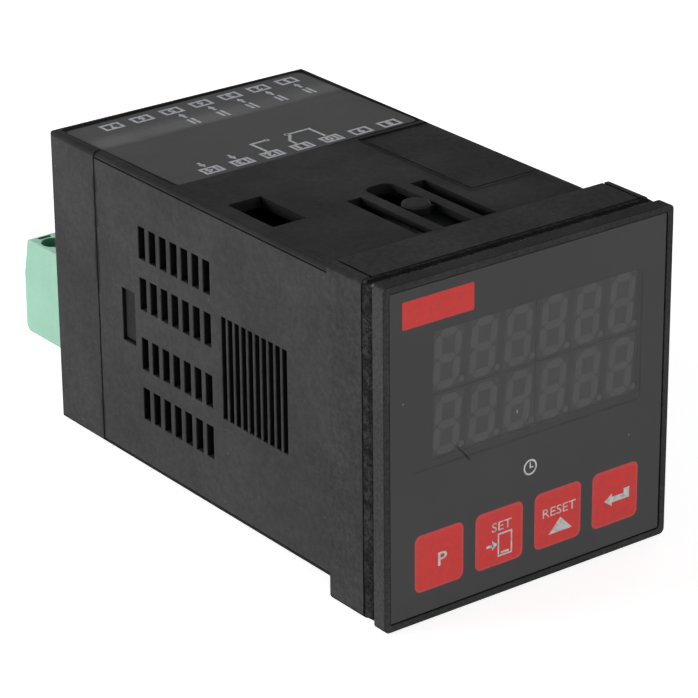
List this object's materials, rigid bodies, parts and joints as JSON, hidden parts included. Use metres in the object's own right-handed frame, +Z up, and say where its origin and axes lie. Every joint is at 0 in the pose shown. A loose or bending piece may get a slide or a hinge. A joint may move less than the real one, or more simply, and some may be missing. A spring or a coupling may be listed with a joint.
{
  "type": "digital panel timer",
  "caption": "Square panel-mount digital timer with film keys, digit rows, a slide-on retaining frame, a vented case and a plug-in terminal block.",
  "frame": {"origin": "middle of the panel's front face, which the gasket's rear face seals against", "axes": "+X to the right seen from the front, +Y from the panel to the rear terminals, +Z up"},
  "size_m": [0.048, 0.0954, 0.048],
  "materials": {
    "bezel_plastic": "fine texture",
    "film": "printed film with red key fields and a smoked window",
    "foam_rubber": "open foam",
    "case_plastic": "fine texture",
    "label_film": "satin with white print",
    "display_plastic": "dark face with grey segments",
    "switch_plastic": "moulded",
    "plunger_plastic": "moulded",
    "board": "dark solder mask",
    "chip_plastic": "moulded",
    "potting": "potted block",
    "relay_plastic": "moulded",
    "capacitor_sleeve": "shrink sleeve",
    "varistor_coat": "epoxy coated disc",
    "crystal_can": "drawn can",
    "terminal_plastic": "moulded",
    "tinned_metal": "tin plated",
    "contact_metal": "spring bronze"
  },
  "bodies": {
    "timer": {"front_bezel": "bezel_plastic", "front_film": "film", "panel_gasket": "foam_rubber", "main_housing": "case_plastic", "side_cover": "case_plastic", "rear_cover": "case_plastic", "rating_label": "label_film", "display_board": "board", "upper_display_left": "display_plastic", "upper_display_right": "display_plastic", "lower_display_left": "display_plastic", "lower_display_right": "display_plastic", "program_key_switch": "switch_plastic", "set_key_switch": "switch_plastic", "reset_key_switch": "switch_plastic", "enter_key_switch": "switch_plastic", "display_driver": "chip_plastic", "power_board": "board", "control_board": "board", "terminal_board": "board", "transformer": "potting", "output_relay": "relay_plastic", "filter_capacitor": "capacitor_sleeve", "bridge_rectifier": "chip_plastic", "voltage_regulator": "chip_plastic", "varistor": "varistor_coat", "microcontroller": "chip_plastic", "memory_chip": "chip_plastic", "crystal": "crystal_can", "start_optocoupler": "chip_plastic", "reset_optocoupler": "chip_plastic", "front_power_strip": "chip_plastic", "front_control_strip": "chip_plastic", "rear_power_strip": "chip_plastic", "rear_control_strip": "chip_plastic", "lower_header": "terminal_plastic", "upper_header": "terminal_plastic", "lower_header_pins": "tinned_metal", "upper_header_pins": "tinned_metal", "terminal_plug": "terminal_plastic", "terminal_screws": "tinned_metal", "clamp_cages": "tinned_metal", "plug_contacts": "contact_metal"},
    "retaining_frame": {"retaining_frame": "case_plastic"},
    "program_key": {"program_key_plunger": "plunger_plastic"},
    "set_key": {"set_key_plunger": "plunger_plastic"},
    "reset_key": {"reset_key_plunger": "plunger_plastic"},
    "enter_key": {"enter_key_plunger": "plunger_plastic"}
  },
  "joints": [
    {"name": "retaining_frame_slide", "type": "slide", "parent": "timer", "child": "retaining_frame", "axis": [0, 1, 0], "range_m": [0, 0.007]},
    {"name": "program_key_press", "type": "slide", "parent": "timer", "child": "program_key", "axis": [0, 1, 0], "range_m": [0, 0.00025], "stiffness_N_per_m": 4000},
    {"name": "set_key_press", "type": "slide", "parent": "timer", "child": "set_key", "axis": [0, 1, 0], "range_m": [0, 0.00025], "stiffness_N_per_m": 4000},
    {"name": "reset_key_press", "type": "slide", "parent": "timer", "child": "reset_key", "axis": [0, 1, 0], "range_m": [0, 0.00025], "stiffness_N_per_m": 4000},
    {"name": "enter_key_press", "type": "slide", "parent": "timer", "child": "enter_key", "axis": [0, 1, 0], "range_m": [0, 0.00025], "stiffness_N_per_m": 4000}
  ]
}
